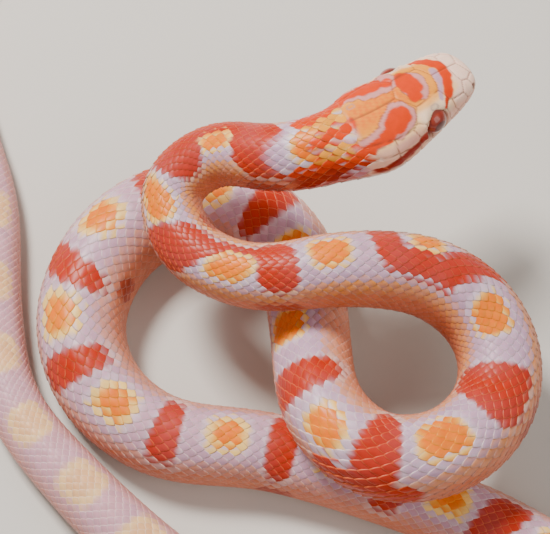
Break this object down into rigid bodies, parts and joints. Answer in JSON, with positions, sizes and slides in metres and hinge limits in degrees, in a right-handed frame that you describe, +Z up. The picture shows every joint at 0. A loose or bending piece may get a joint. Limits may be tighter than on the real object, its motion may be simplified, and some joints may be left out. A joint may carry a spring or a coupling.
{
  "type": "corn snake",
  "caption": "Young albino corn snake at rest in stacked loops, head raised, red and orange saddles on a pale lavender ground.",
  "frame": {"origin": "middle of the space the animal takes up, on the floor", "axes": "+Z up, +X to the right of the picture, +Y away from its camera"},
  "size_m": [0.121, 0.1598, 0.0406],
  "materials": {
    "skin": "smooth overlapping scales, satin, back faintly keeled, belly plates smoother",
    "eye": "clear wet gloss over red iris and round red pupil"
  },
  "bodies": {
    "root": {"head": "skin", "lower_jaw": "skin", "eye_left": "eye", "eye_right": "eye", "neck_01": "skin", "neck_02": "skin", "neck_03": "skin", "neck_04": "skin", "body_01": "skin", "body_02": "skin", "body_03": "skin", "body_04": "skin", "body_05": "skin", "body_06": "skin", "body_07": "skin", "body_08": "skin", "body_09": "skin", "body_10": "skin", "body_11": "skin", "body_12": "skin", "body_13": "skin", "body_14": "skin", "body_15": "skin", "body_16": "skin", "body_17": "skin", "tail_01": "skin", "tail_02": "skin", "tail_03": "skin"}
  },
  "joints": []
}
